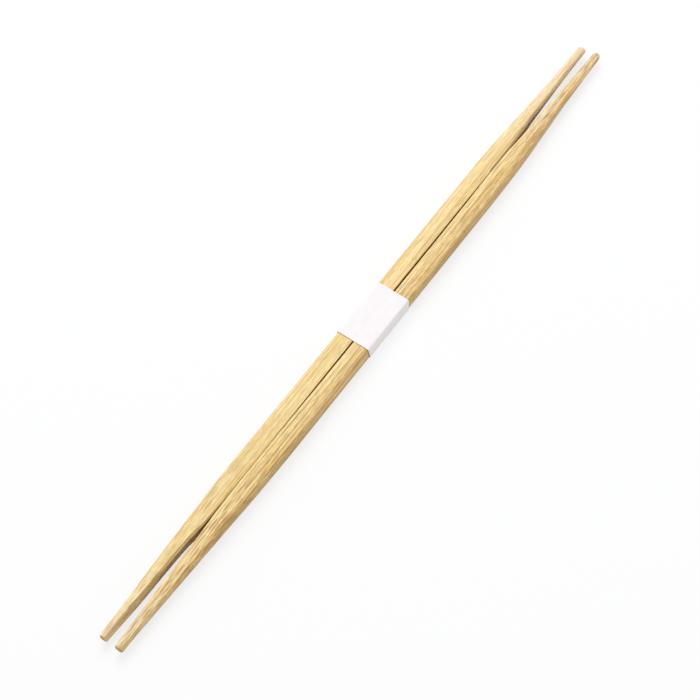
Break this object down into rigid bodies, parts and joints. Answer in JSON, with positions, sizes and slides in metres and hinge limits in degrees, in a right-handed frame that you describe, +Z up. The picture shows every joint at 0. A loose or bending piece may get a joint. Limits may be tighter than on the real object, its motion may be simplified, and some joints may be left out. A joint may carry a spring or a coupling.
{
  "type": "bamboo chopsticks",
  "caption": "Square bamboo chopsticks tapering to slender tips at both ends, side by side in a plain white paper band.",
  "frame": {"origin": "on the surface that the pair lies on, under the middle of the paper band", "axes": "+Y along the sticks, +X from the left stick to the right one, +Z up from the underside"},
  "size_m": [0.0112, 0.2404, 0.0055],
  "materials": {
    "bamboo": "satin",
    "paper": "matte"
  },
  "bodies": {
    "root": {"left_chopstick": "bamboo", "right_chopstick": "bamboo", "paper_band": "paper"}
  },
  "joints": []
}
